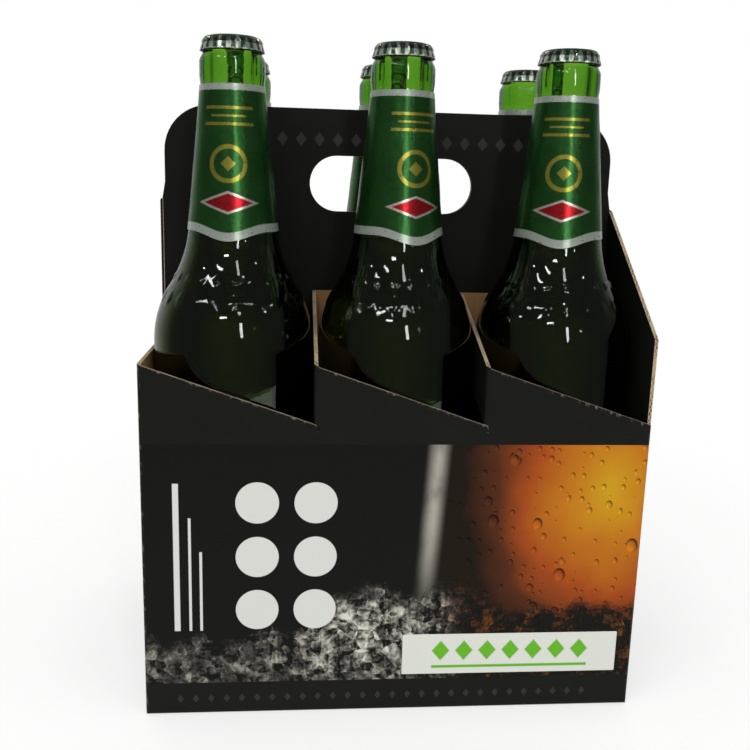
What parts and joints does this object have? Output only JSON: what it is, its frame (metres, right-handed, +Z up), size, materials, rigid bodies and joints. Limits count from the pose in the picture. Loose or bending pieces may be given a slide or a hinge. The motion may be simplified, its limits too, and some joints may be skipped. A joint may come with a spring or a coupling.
{
  "type": "six-pack bottle carrier with beer bottles",
  "caption": "Folded corrugated board carrier with saw-tooth sides, divider straps and a centre hand-hole handle, holding crown-capped green glass beer bottles in cells.",
  "frame": {"origin": "middle of the underside of the board box, on the surface that it stands on", "axes": "+Z up through the bottles, +X along the row of three to the right, front panel facing -Y"},
  "size_m": [0.2278, 0.154, 0.3031],
  "materials": {
    "printed_board": "charcoal satin print outside, bare kraft inside and on cut edges",
    "green_glass": "glossy",
    "beer": "clear liquid",
    "cap_metal": "lacquered tinplate with worn bright crests",
    "cap_liner": "matte",
    "neck_foil": "metallised foil paper, green with silver bands",
    "body_paper": "coated paper with a dark green band"
  },
  "bodies": {
    "root": {"carrier": "printed_board", "bottle_front_left": "green_glass", "bottle_front_middle": "green_glass", "bottle_front_right": "green_glass", "bottle_back_left": "green_glass", "bottle_back_middle": "green_glass", "bottle_back_right": "green_glass", "beer_front_left": "beer", "beer_front_middle": "beer", "beer_front_right": "beer", "beer_back_left": "beer", "beer_back_middle": "beer", "beer_back_right": "beer", "cap_front_left": "cap_metal", "cap_front_middle": "cap_metal", "cap_front_right": "cap_metal", "cap_back_left": "cap_metal", "cap_back_middle": "cap_metal", "cap_back_right": "cap_metal", "cap_liner_front_left": "cap_liner", "cap_liner_front_middle": "cap_liner", "cap_liner_front_right": "cap_liner", "cap_liner_back_left": "cap_liner", "cap_liner_back_middle": "cap_liner", "cap_liner_back_right": "cap_liner", "neck_label_front_left": "neck_foil", "neck_label_front_middle": "neck_foil", "neck_label_front_right": "neck_foil", "neck_label_back_left": "neck_foil", "neck_label_back_middle": "neck_foil", "neck_label_back_right": "neck_foil", "body_label_front_left": "body_paper", "body_label_front_middle": "body_paper", "body_label_front_right": "body_paper", "body_label_back_left": "body_paper", "body_label_back_middle": "body_paper", "body_label_back_right": "body_paper"}
  },
  "joints": []
}
